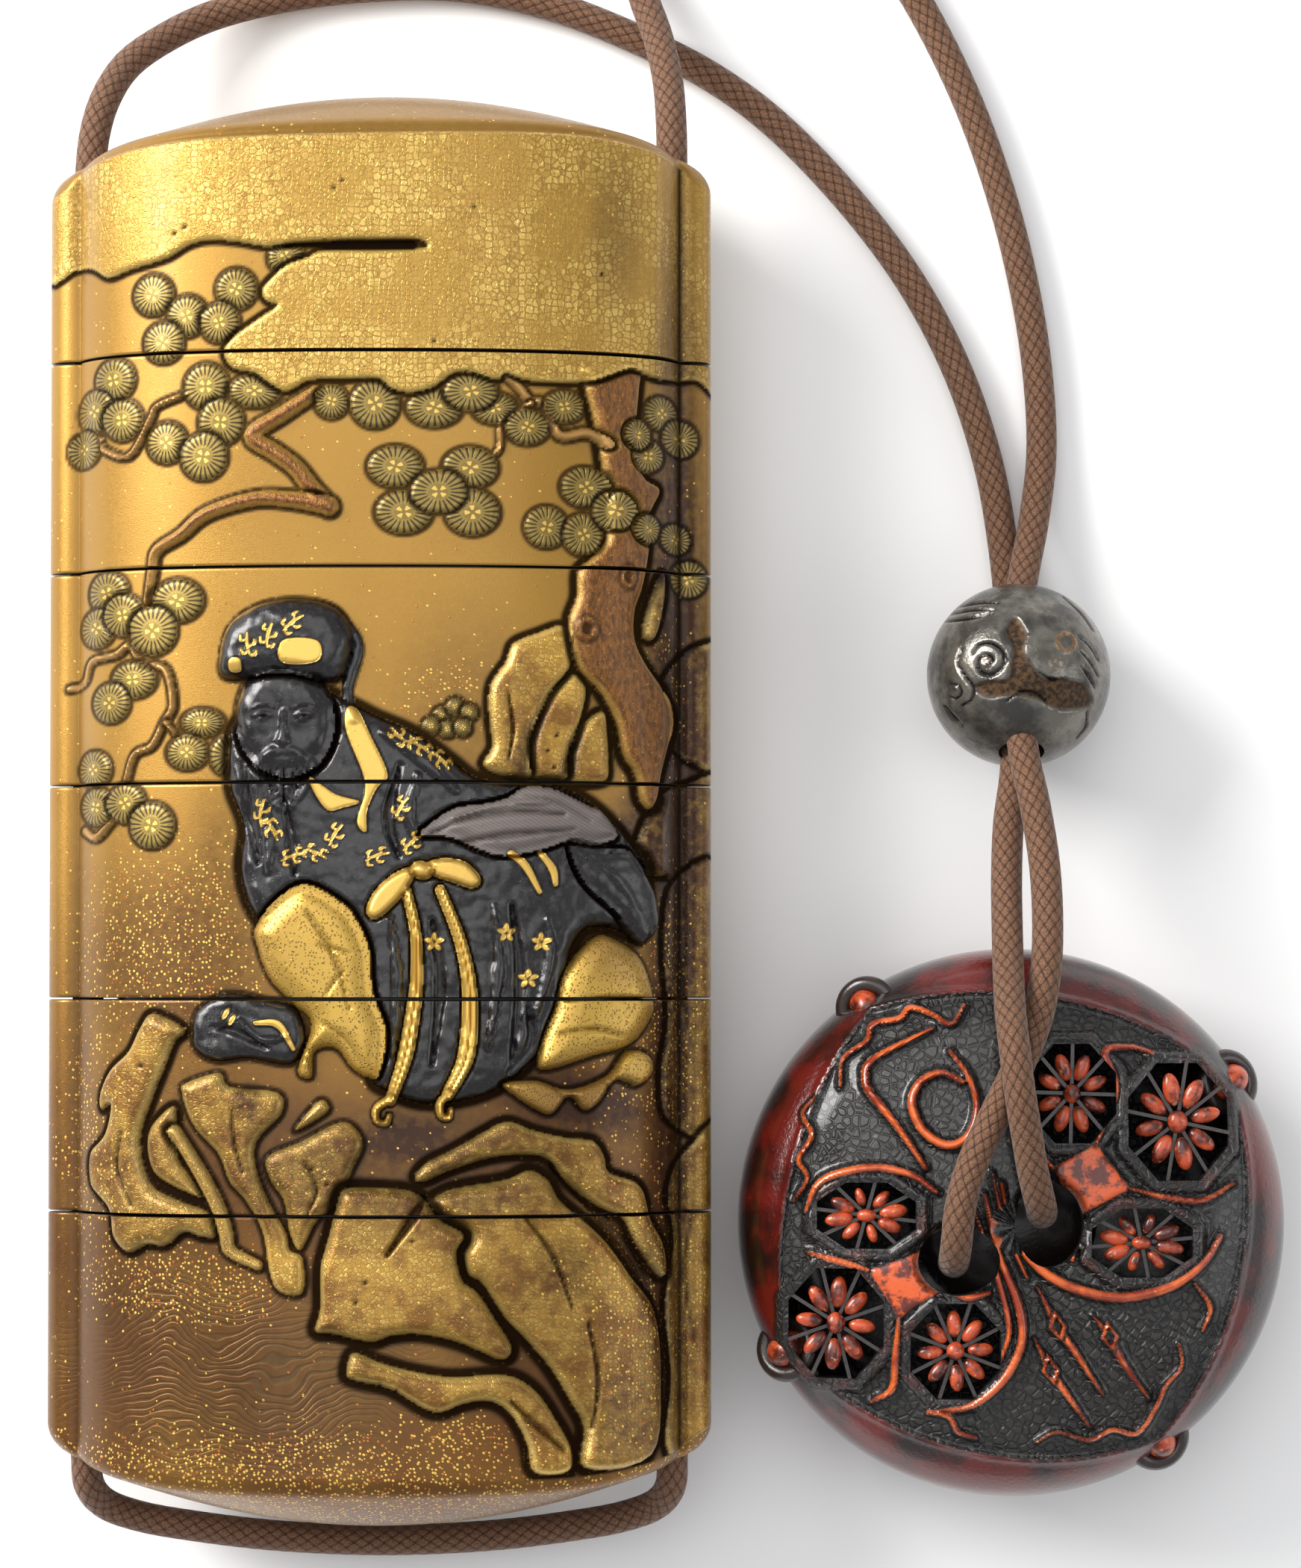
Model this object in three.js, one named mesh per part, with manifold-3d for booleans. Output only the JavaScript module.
// An inro: a stack of small lacquered cases with a lid, strung on a silk cord with its bead
// (ojime) and its toggle (netsuke). It lies on its back, front up, in millimetres:
// +Y points to the lid, +Z out of the front, and the origin is under the middle of the stack.
import * as THREE from 'three';
import { mergeVertices } from 'three/addons/utils/BufferGeometryUtils.js';
import Module from 'manifold-3d';

const wasm = await Module();
wasm.setup();

// ---- driving dimensions ----
const seams = [30, 15.75, 1.5, -12.75, -27];  // heights of the five joints, lid to bottom case
const seamGap = 0.3;
const midZ = 9.8;              // the cord channels and the widest point of the section
const body = { a: 20.4, b: 10, n: 2.3 };      // section: half width, half depth, squareness
const backDrop = 0.12;         // the back is cut flat by this much, so that it rests
const ear = { x: 20.45, r: 2.0 };
const channel = { x: 19.7, r: 1.35 };          // bored from end to end for the cord
const dome = { side: 43.2, rise: 4.9, halfWidth: 21, fall: 0.62, edge: 0.8, lean: 0.016 };
const socket = { a: 18.0, b: 9.1 };           // in the underside of each case above
const riser = { a: 17.7, b: 8.8, height: 2.9 };
const cavity = { a: 17.0, b: 8.1 };
const socketDepth = 3.25;
const floorThickness = 1.1;
const frontHalf = 20.1;        // the carved face runs this far to each side
const columns = 30;
const rowHeight = 1.55;
const cordRadius = 1.05;
const bead = { at: [43.35, 9.25], r: 6.25, bore: 2.7, tilt: -28 };  // its lower end is tipped up
const toggle = { at: [42.6, -27.85], r: 18.45, half: 8, wall: 1.8, power: 2.6 };

// ---- solids ----
function toManifold(geometry) {
  const bare = geometry.clone();
  bare.deleteAttribute('normal');
  bare.deleteAttribute('uv');
  const merged = mergeVertices(bare, 1e-5);
  return new wasm.Manifold(new wasm.Mesh({
    numProp: 3,
    vertProperties: new Float32Array(merged.attributes.position.array),
    triVerts: new Uint32Array(merged.index.array),
  }));
}

function fromManifold(solid) {
  const mesh = solid.getMesh();
  const geometry = new THREE.BufferGeometry();
  geometry.setAttribute('position', new THREE.BufferAttribute(mesh.vertProperties, 3));
  geometry.setIndex(new THREE.BufferAttribute(mesh.triVerts, 1));
  geometry.computeVertexNormals();
  return geometry;
}

function fromTriangles(points, triangles) {
  const geometry = new THREE.BufferGeometry();
  geometry.setAttribute('position', new THREE.Float32BufferAttribute(points.flat(), 3));
  geometry.setIndex(triangles.flat());
  return toManifold(geometry);
}

// a stack of closed rings of the same count, capped flat at both ends
function loft(rings) {
  const count = rings[0].length;
  const triangles = [];
  for (let k = 0; k + 1 < rings.length; k += 1) {
    for (let i = 0; i < count; i += 1) {
      const j = (i + 1) % count;
      const low = k * count;
      triangles.push([low + i, low + count + i, low + j], [low + j, low + count + i, low + count + j]);
    }
  }
  const flat = (ring) => ring.map((p) => new THREE.Vector2(p[0], p[2]));
  const last = (rings.length - 1) * count;
  for (const [a, b, c] of THREE.ShapeUtils.triangulateShape(flat(rings[0]), [])) {
    triangles.push([a, b, c]);
  }
  for (const [a, b, c] of THREE.ShapeUtils.triangulateShape(flat(rings.at(-1)), [])) {
    triangles.push([last + a, last + c, last + b]);
  }
  return fromTriangles(rings.flat(), triangles);
}

// ---- the section of the stack ----
function sectionDepth(x, { a, b }) {
  return b * (1 - Math.min(1, Math.abs(x) / a) ** body.n) ** (1 / body.n);
}

function ovalRing({ a, b }, y, scale = 1, count = 18) {
  return Array.from({ length: count }, (_, i) => {
    const t = (2 * Math.PI * (i + 0.5)) / count;
    const power = 2 / body.n;
    const x = a * Math.sign(Math.cos(t)) * Math.abs(Math.cos(t)) ** power;
    const z = b * Math.sign(Math.sin(t)) * Math.abs(Math.sin(t)) ** power;
    return [x * scale, y, midZ + z * scale];
  });
}

const earTurn = THREE.MathUtils.degToRad(97);
const earSteps = 5;

// The half outline below and beside the face, from the right edge of the face round the ear
// and the back to the middle of the back, as [x, z].
function sideOutline() {
  const points = [];
  for (let i = 0; i <= earSteps; i += 1) {
    const t = earTurn - (2 * earTurn * i) / earSteps;
    points.push([ear.x + ear.r * Math.cos(t), midZ + ear.r * Math.sin(t)]);
  }
  for (const x of [19.5, 16.8, 12.4]) {
    points.push([x, midZ - sectionDepth(x, body)]);
  }
  const flatHalf = body.a * (body.n * backDrop / body.b) ** (1 / body.n);
  points.push([flatHalf, midZ - body.b + backDrop]);
  return points;
}

const restZ = midZ - body.b + backDrop;       // lowest level of the section, brought to zero
const lift = -restZ;

const faceXs = Array.from({ length: columns + 1 }, (_, i) => -frontHalf + (2 * frontHalf * i) / columns);

// The whole outline seen from the lid, clockwise from the left edge of the face, each point
// with its outward normal, its place along the face if it is carved, and no height yet.
function outline() {
  const right = sideOutline();
  const left = right.map(([x, z]) => [-x, z]).reverse();
  const points = [
    ...faceXs.map((x) => [x, midZ + sectionDepth(x, body), true]),
    ...right.map((p) => [...p, false]),
    ...left.map((p) => [...p, false]),
  ];
  return points.map(([x, z, carved], i) => {
    const before = points.at(i - 1);
    const after = points[(i + 1) % points.length];
    const length = Math.hypot(after[0] - before[0], after[1] - before[1]);
    const nx = (before[1] - after[1]) / length;
    const nz = (after[0] - before[0]) / length;
    return { x, z: z + lift, carved, nx, nz };
  });
}

const rim = outline();

// the height of a domed end; the lid's dome leans a little, its right side higher
function domeY(x, z, facing) {
  const across = 1 - (x / dome.halfWidth) ** 2;
  const through = 1 - dome.fall * ((z - lift - midZ) / body.b) ** 2;
  return dome.side + dome.rise * across * through + (facing > 0 ? dome.lean * x : 0);
}

// ---- the carved picture on the face ----
// A mound is an oval that rises from the ground: [x, y, half width, half height, turn, rise].
const clouds = [
  [-9, 43, 14, 5.9, 4, 0.45], [9, 41, 15, 8, 0, 0.45], [-4, 33, 5.5, 3.6, 20, 0.45],
  [5, 33.5, 14, 5.4, 0, 0.45], [-1, 30.4, 9, 2.6, 0, 0.45],
];
const rocks = [
  [9.8, 7.3, 5.2, 1.7, 64, 0.8], [12, 5, 3.9, 1.3, 62, 0.8], [13.9, 3.9, 2.4, 1.2, 70, 0.7],
  [-15.9, -17.8, 4.9, 1.8, 58, 0.8], [-16.9, -24.4, 4.6, 1.9, 100, 0.9], [-13.6, -27.6, 3.4, 1.5, -5, 0.8],
  [-13.2, -23, 2.9, 1.4, 112, 0.7], [-10.6, -26.5, 4.6, 0.9, 118, 0.7], [-10, -20.6, 4.4, 2.2, 125, 0.9],
  [-7, -27.6, 5.8, 1.4, 116, 0.8], [-4.1, -24.9, 3.9, 2.6, 56, 0.9], [8.8, -22.6, 6.6, 1.3, 6, 0.8],
  [16.4, -26.6, 4.6, 1.3, 122, 0.8], [1.6, -30.4, 5, 4.7, 20, 1.1], [11.6, -32.6, 9.2, 4, 118, 1.2],
  [4.6, -38, 6.4, 1.4, 160, 0.9], [14, -40, 4.4, 3.6, 100, 0.9],
];
const figure = [
  [-5.9, 10.9, 4.2, 2.8, 0, 1.3], [-6, 5.6, 3.7, 3.9, 12, 1.5], [-3.2, -1.4, 6.6, 5.6, -10, 1.2],
  [2.9, 0.6, 5.4, 2.6, -40, 1.2], [8.6, -0.4, 5.6, 1.7, -4, 1.4], [12.6, -3.6, 5.2, 1.9, -28, 1.2],
  [4.2, -9.4, 6.2, 7.4, 0, 1], [-4, -9.4, 3.8, 4.7, -14, 1.5], [-2.2, -15, 3, 2.4, 0, 1.2],
  [14.6, -12.8, 3.4, 4.2, 8, 1.4], [12.4, -18.5, 4.4, 1.2, 8, 1], [-9.4, -14.6, 2.8, 1.6, -8, 0.9],
  [5.6, -4.2, 2, 1.4, -20, 1.7], [0.8, -5, 2, 1.3, 40, 1.7],
];

// A stroke is a band along a line: [half width, rise, x, y, x, y, ...].
const strokes = [
  [1.9, 0.7, 15.4, 29, 15.7, 23, 16.2, 18, 15.2, 12, 16, 8, 17.9, 4, 17.8, 0.5],
  [0.6, 0.5, -4.2, 27.2, -8, 24.3, -4.9, 22.2, -3.2, 19.7, -8, 20.3, -12, 18.7, -14.6, 16.6, -15.2, 13.6],
  [0.3, 0.35, -12.8, 27.2, -14.8, 26.2, -16.5, 23.3, -18.6, 24],
  [0.3, 0.35, -19.4, 9.4, -16.4, 10.6, -14, 9, -13.5, 6.7, -16.1, 3.4, -16.7, 1.6],
  [0.35, 0.35, 8.6, 28.4, 10.6, 26.6, 12, 24.5, 15, 24.2],
  [0.5, 1.6, 2.1, -5.5, 2.7, -11.4, 1.9, -16.7, 0.2, -20.6],
  [0.6, 1.6, 4.5, -5.5, 6, -11.4, 5.8, -16.7, 4.4, -20.2],
];

// The round tufts of pine needles, by the middle of each tuft.
const tuft = { r: 1.45, rise: 0.3 };
const tufts = [
  [-14.9, 33.9], [-12.6, 32.4], [-9.3, 34.1], [-10.4, 31.9], [-14.2, 30.7], [-17.6, 28.4], [-17, 25.7],
  [-11.3, 27.7], [-8.1, 27.4], [-10.3, 25.3], [-14, 24.1], [-11.5, 23.1], [-0.1, 26.5], [3.8, 26.2],
  [6.2, 27.3], [9.9, 25], [1.2, 22.3], [6.2, 22.3], [4.1, 20.7], [13.7, 21.1], [1.8, 19.3], [6.3, 19.3],
  [11.2, 18.4], [13.6, 18], [-13.2, 13.6], [-14.9, 11.6], [-16.9, 12.7], [-16.2, 8.4], [-17.8, 6.9],
  [-11.5, 5.5], [-12.5, 3.5], [-16.7, 0.2], [-14.9, -1.3],
];

const softEdge = 0.9;          // how far in from its edge a form reaches its full rise

function ease(inside) {
  const t = THREE.MathUtils.clamp(inside / softEdge + 0.35, 0, 1);
  return t * t * (3 - 2 * t);
}

function moundRise(x, y, [cx, cy, a, b, turn, rise]) {
  const t = THREE.MathUtils.degToRad(turn);
  const u = ((x - cx) * Math.cos(t) + (y - cy) * Math.sin(t)) / a;
  const v = ((y - cy) * Math.cos(t) - (x - cx) * Math.sin(t)) / b;
  return rise * ease((1 - Math.hypot(u, v)) * Math.min(a, b));
}

function strokeRise(x, y, [half, rise, ...line]) {
  let nearest = Infinity;
  for (let i = 0; i + 3 < line.length; i += 2) {
    const [ax, ay, bx, by] = line.slice(i, i + 4);
    const along = ((x - ax) * (bx - ax) + (y - ay) * (by - ay)) / ((bx - ax) ** 2 + (by - ay) ** 2);
    const t = THREE.MathUtils.clamp(along, 0, 1);
    nearest = Math.min(nearest, Math.hypot(x - ax - t * (bx - ax), y - ay - t * (by - ay)));
  }
  return rise * ease(half - nearest);
}

function relief(x, y) {
  const rises = [
    ...[...clouds, ...rocks, ...figure].map((mound) => moundRise(x, y, mound)),
    ...strokes.map((stroke) => strokeRise(x, y, stroke)),
    ...tufts.map(([cx, cy]) => moundRise(x, y, [cx, cy, tuft.r, tuft.r, 0, tuft.rise])),
  ];
  const sideFade = THREE.MathUtils.clamp((frontHalf - Math.abs(x)) / 1.2, 0, 1);
  return Math.max(...rises) * sideFade;
}

// ---- the outside of one case ----
// The face is a grid with many rows. The ears and the back need only their two ends, so the
// two strips beside the face are fans. A domed end adds rings that close on its middle.
function shell(low, high, domed) {
  const points = [];
  const triangles = [];
  const end = domed < 0 ? (p) => -domeY(p.x, p.z, domed) + dome.edge : () => low;
  const start = domed > 0 ? (p) => domeY(p.x, p.z, domed) - dome.edge : () => high;
  const rows = Math.round((high - low) / rowHeight);
  const place = (p, y, inset = 0) => {
    const out = (p.carved ? relief(p.x, y) : 0) - inset;
    points.push([p.x + p.nx * out, y, Math.max(0, p.z + p.nz * out)]);
    return points.length - 1;
  };
  const levels = rim.map((p) => {
    const count = p.carved ? rows : 1;
    return Array.from({ length: count + 1 }, (_, k) => place(p, end(p) + ((start(p) - end(p)) * k) / count));
  });
  for (let i = 0; i < rim.length; i += 1) {
    const here = levels[i];
    const next = levels[(i + 1) % rim.length];
    let a = 0;
    let b = 0;
    while (a + 1 < here.length || b + 1 < next.length) {
      const stepHere = b + 1 === next.length
        || (a + 1 < here.length && (a + 1) / here.length <= (b + 1) / next.length);
      const third = stepHere ? here[a + 1] : next[b + 1];
      triangles.push([here[a], next[b], third]);
      if (stepHere) a += 1;
      else b += 1;
    }
  }
  closeEnd(points, triangles, levels.map((level) => level.at(-1)), domed > 0 ? 1 : 0, 1);
  closeEnd(points, triangles, levels.map((level) => level[0]), domed < 0 ? -1 : 0, -1);
  return fromTriangles(points, triangles);
}

function closeEnd(points, triangles, ring, domed, facing) {
  const push = (a, b, c) => triangles.push(facing > 0 ? [a, b, c] : [a, c, b]);
  if (!domed) {
    const flat = ring.map((i) => new THREE.Vector2(points[i][0], points[i][2]));
    for (const [a, b, c] of THREE.ShapeUtils.triangulateShape(flat, [])) push(ring[a], ring[c], ring[b]);
    return;
  }
  let outer = ring;
  const centre = [0, midZ + lift];
  const shrinks = [0.965, 0.6];
  for (const shrink of shrinks) {
    const inner = ring.map((i) => {
      const x = points[i][0] * shrink;
      const z = centre[1] + (points[i][2] - centre[1]) * shrink;
      points.push([x, domed * (domeY(x, z, domed) - (shrink > 0.9 ? 0.12 : 0)), z]);
      return points.length - 1;
    });
    for (let i = 0; i < ring.length; i += 1) {
      const j = (i + 1) % ring.length;
      push(outer[i], outer[j], inner[i]);
      push(outer[j], inner[j], inner[i]);
    }
    outer = inner;
  }
  points.push([0, domed * domeY(0, centre[1], domed), centre[1]]);
  for (let i = 0; i < ring.length; i += 1) push(outer[i], outer[(i + 1) % ring.length], points.length - 1);
}

const raised = (ring) => ring.map(([x, y, z]) => [x, y, z + lift]);

function prism(size, low, high) {
  return loft([raised(ovalRing(size, low)), raised(ovalRing(size, high))]);
}

// the hollow of a domed case: straight, then drawn in under the dome
function domedHollow(from, side) {
  const steps = [[from, 1], [41, 1], [43.5, 0.85], [45.2, 0.55], [45.9, 0.2]];
  const rings = steps.map(([y, scale]) => raised(ovalRing(cavity, y * side, scale)));
  rings[0] = raised(ovalRing(cavity, from));
  return loft(side > 0 ? rings : rings.reverse());
}

function boredForCord(solid) {
  let result = solid;
  for (const side of [-1, 1]) {
    const drill = new THREE.CylinderGeometry(channel.r, channel.r, 110, 8);
    drill.translate(side * channel.x, 0, midZ + lift);
    result = result.subtract(toManifold(drill));
  }
  return result;
}

function buildLid() {
  const low = seams[0] + seamGap / 2;
  return boredForCord(shell(low, dome.side, 1)
    .subtract(prism(socket, low - 1, seams[0] + socketDepth))
    .subtract(domedHollow(low - 1, 1)));
}

function buildCase(index) {
  const high = seams[index] - seamGap / 2;
  const last = index === seams.length - 1;
  const low = last ? -dome.side : seams[index + 1] + seamGap / 2;
  const riserTop = seams[index] + riser.height;
  let solid = shell(low, high, last ? -1 : 0).add(prism(riser, high - 1, riserTop));
  if (last) {
    solid = solid.subtract(domedHollow(riserTop + 1, -1));
  } else {
    const socketTop = seams[index + 1] + socketDepth;
    solid = solid.subtract(prism(socket, low - 1, socketTop))
      .subtract(prism(cavity, socketTop + floorThickness, riserTop + 1));
  }
  return boredForCord(solid);
}

// ---- cord ----
// Each route is a list of places [x, y, z] that the cord runs through.
const channelZ = midZ + lift;
const mouth = 42.6;            // height of the channel mouths
const inside = 5;              // how far in from its mouth a strand's own stretch begins
const laid = cordRadius;       // centre height of a cord that lies on the table
const routes = {
  left: [
    [-19.7, 37.6, channelZ], [-19.7, 40.5, channelZ], [-19.7, 43.3, channelZ], [-19.5, 46, 9.1],
    [-18.9, 48.6, 7.7], [-17.6, 51.2, 5.7], [-15.3, 53.3, 3.8], [-12.2, 55.1, 2.3], [-7.6, 56.5, 1.3],
    [-2, 57.3, laid], [4.6, 57.4, laid], [11.2, 56.1, laid], [17.8, 53.5, laid], [22.6, 51, laid],
    [26.8, 47.9, laid], [32.1, 42.4, laid], [36.4, 36.6, laid], [39.6, 30.4, laid], [41.6, 24.3, laid],
    [42.5, 19.4, 1.2], [43, 14.2, 2.2], [43.1, 8.5, 5.2], [43, 2.9, 8.2], [42.4, -1, 10.1],
    [42.15, -4.6, 11.9], [42.05, -8, 14], [42, -10.8, 15.9], [42, -13.4, 17.8], [42.2, -16.2, 19.4],
    [42.5, -18.8, 19.6], [43, -21.6, 18.8], [43.5, -24.2, 17.7], [44, -26, 16.3], [44.3, -26.9, 14.4],
    [44.4, -27.1, 12.4],
  ],
  right: [
    [19.7, 37.6, channelZ], [19.7, 40.5, channelZ], [19.7, 43.4, channelZ], [19.65, 46.6, 9],
    [19.4, 50, 7.1], [18.7, 53.4, 4.7], [17.6, 57, 2.4], [17.1, 61, laid], [18.8, 65.2, laid],
    [23.2, 67.6, laid], [28.4, 66.4, laid], [32.8, 62.2, laid], [36.4, 57, laid], [39.8, 50.4, laid],
    [42.2, 44, laid], [43.9, 37.6, laid], [45, 31, laid], [45.3, 25, 1.2], [44.7, 20.2, 2.3],
    [43.7, 15.3, 4.3], [43.2, 9.7, 7.3], [43.4, 4, 10.3], [44.1, 0, 12.1], [44.6, -4, 13.6],
    [44.7, -8, 14.8], [44.5, -11, 15.6], [43.9, -14, 16.2], [42.6, -17.2, 16.9], [41, -20.4, 17.5],
    [39.5, -23.6, 17.7], [38.7, -26.4, 17.7], [38.5, -28.6, 17], [38.45, -30, 14.8], [38.5, -30.4, 12.4],
  ],
  base: [
    [-19.7, -37.6, channelZ], [-19.7, -40.6, channelZ], [-19.7, -43.6, channelZ], [-19.6, -45.5, 9],
    [-18.7, -46.9, 7.4], [-16.5, -47.9, 6], [-12.6, -48.7, 5], [-7, -49.4, 4.4], [0, -49.7, 4.2],
    [7, -49.4, 4.4], [12.6, -48.7, 5], [16.5, -47.9, 6], [18.7, -46.9, 7.4], [19.6, -45.5, 9],
    [19.7, -43.6, channelZ], [19.7, -40.6, channelZ], [19.7, -37.6, channelZ],
  ],
};

function cordGeometry(points, steps) {
  const section = new THREE.Shape();
  const sides = 8;
  for (let i = 0; i < sides; i += 1) {
    const t = (2 * Math.PI * (i + 0.5)) / sides;
    const method = i === 0 ? 'moveTo' : 'lineTo';
    section[method](cordRadius * Math.cos(t), cordRadius * Math.sin(t));
  }
  section.closePath();
  const path = points.length === 2
    ? new THREE.LineCurve3(...points.map((p) => new THREE.Vector3(...p)))
    : new THREE.CatmullRomCurve3(points.map((p) => new THREE.Vector3(...p)), false, 'centripetal');
  return new THREE.ExtrudeGeometry(section, { steps, bevelEnabled: false, extrudePath: path });
}

function runGeometry(side) {
  const end = mouth - inside - seamGap;
  return cordGeometry([[side * channel.x, -end, channelZ], [side * channel.x, end, channelZ]], 1);
}

// ---- bead and toggle ----
function lathed(profile, segments) {
  const points = profile.map(([r, y]) => new THREE.Vector2(r, y));
  return new THREE.LatheGeometry([...points, points[0]], segments);
}

function buildBead() {
  const profile = [];
  const steps = 8;
  const start = Math.asin(bead.bore / bead.r);
  for (let i = 0; i <= steps; i += 1) {
    const t = start + ((Math.PI - 2 * start) * i) / steps;
    profile.push([bead.r * Math.sin(t), -bead.r * Math.cos(t)]);
  }
  const geometry = lathed(profile, 18);
  geometry.rotateX(THREE.MathUtils.degToRad(bead.tilt));
  geometry.translate(bead.at[0], bead.at[1], bead.r);
  return fromManifold(toManifold(geometry));
}

function toggleProfile(r, half, power, steps) {
  return Array.from({ length: steps + 1 }, (_, i) => {
    const t = -Math.PI / 2 + (Math.PI * i) / steps;
    const c = Math.cos(t);
    const s = Math.sin(t);
    return [r * Math.abs(c) ** (2 / power), half * Math.sign(s) * Math.abs(s) ** (2 / power)];
  });
}

// windows in the toggle's face: [x, y, half width, half height] from its middle
const windows = [
  [11.2, 6.9, 3.3, 3.7], [3.2, 8.8, 3, 3.3], [9.3, -1.3, 3.8, 2.4],
  [-11.4, -6.7, 3.3, 3.5], [-3.9, -8.6, 3.2, 3.1], [-9.7, 0.9, 3.6, 2.4],
];
const cordHoles = [[-4.1, -2.4], [1.8, 0.8]];
const cordHoleRadius = 2.5;
const backHoleRadius = 5;
const knobTurns = [33, 124, 209, 304];        // four small knobs round the edge of the face
const knobRadius = 1.5;
const knobReach = 17.2;
const knobHeight = 2.6;
const flower = { disc: 0.42, arm: 0.35, reach: 1.2, turn: 0.4 };

function octagonBar([x, y], [halfX, halfY], low, high) {
  const bar = new THREE.CylinderGeometry(1, 1, high - low, 8);
  bar.rotateY(Math.PI / 8);
  bar.rotateX(Math.PI / 2);
  bar.scale(halfX, halfY, 1);
  bar.translate(x, y, (low + high) / 2);
  return toManifold(bar);
}

// a window's opening with the flower that stays in it: a disc on two crossed arms
function windowCut([x, y, halfX, halfY], height) {
  let petals = octagonBar([x, y], [halfX * flower.disc, halfY * flower.disc], 0, height);
  for (const turn of [flower.turn, flower.turn + Math.PI / 2]) {
    const arm = new THREE.BoxGeometry(halfX * 2 * flower.reach, flower.arm * 2, height);
    arm.rotateZ(turn);
    arm.translate(x, y, height / 2);
    petals = petals.add(toManifold(arm));
  }
  return octagonBar([x, y], [halfX, halfY], 0, height).subtract(petals);
}

function turnedDisc(r, half, power, steps, segments) {
  const profile = toggleProfile(r, half, power, steps);
  profile[0][0] = 0;
  profile.at(-1)[0] = 0;
  const geometry = new THREE.LatheGeometry(profile.map(([x, y]) => new THREE.Vector2(x, y)), segments);
  geometry.rotateX(Math.PI / 2);
  return toManifold(geometry);
}

function buildToggle() {
  const { r, half, wall, power } = toggle;
  let solid = turnedDisc(r, half, power, 10, 24).subtract(turnedDisc(r - wall, half - wall, power, 8, 16));
  for (const turn of knobTurns) {
    const knob = new THREE.IcosahedronGeometry(knobRadius, 0);
    const t = THREE.MathUtils.degToRad(turn);
    knob.translate(knobReach * Math.cos(t), knobReach * Math.sin(t), knobHeight);
    solid = solid.add(toManifold(knob));
  }
  for (const window of windows) solid = solid.subtract(windowCut(window, half * 2));
  for (const hole of cordHoles) {
    solid = solid.subtract(octagonBar(hole, [cordHoleRadius, cordHoleRadius], 0, half * 2));
  }
  solid = solid.subtract(octagonBar([0, 0], [backHoleRadius, backHoleRadius], -half * 2, 0));
  const geometry = fromManifold(solid);
  geometry.translate(toggle.at[0], toggle.at[1], half);
  return geometry;
}

// ---- the object ----
const goldLacquer = { color: 0xb0822e, roughness: 0.35, metalness: 0.6 };
const silkCord = { color: 0x6b4a38, roughness: 0.85, metalness: 0 };
const darkMetal = { color: 0x3a3935, roughness: 0.35, metalness: 0.8 };
const redLacquer = { color: 0x5a1a12, roughness: 0.3, metalness: 0 };

const inro = new THREE.Group();

function put(name, geometry, look) {
  const mesh = new THREE.Mesh(geometry, new THREE.MeshStandardMaterial(look));
  mesh.name = name;
  inro.add(mesh);
}

put('lid', fromManifold(buildLid()), goldLacquer);
for (let index = 0; index < seams.length; index += 1) {
  put(`case_${index + 1}`, fromManifold(buildCase(index)), goldLacquer);
}
put('cord_left', cordGeometry(routes.left, 30), silkCord);
put('cord_left_run', runGeometry(-1), silkCord);
put('cord_base', cordGeometry(routes.base, 22), silkCord);
put('cord_right_run', runGeometry(1), silkCord);
put('cord_right', cordGeometry(routes.right, 32), silkCord);
put('ojime', buildBead(), darkMetal);
put('netsuke', buildToggle(), redLacquer);

export default inro;
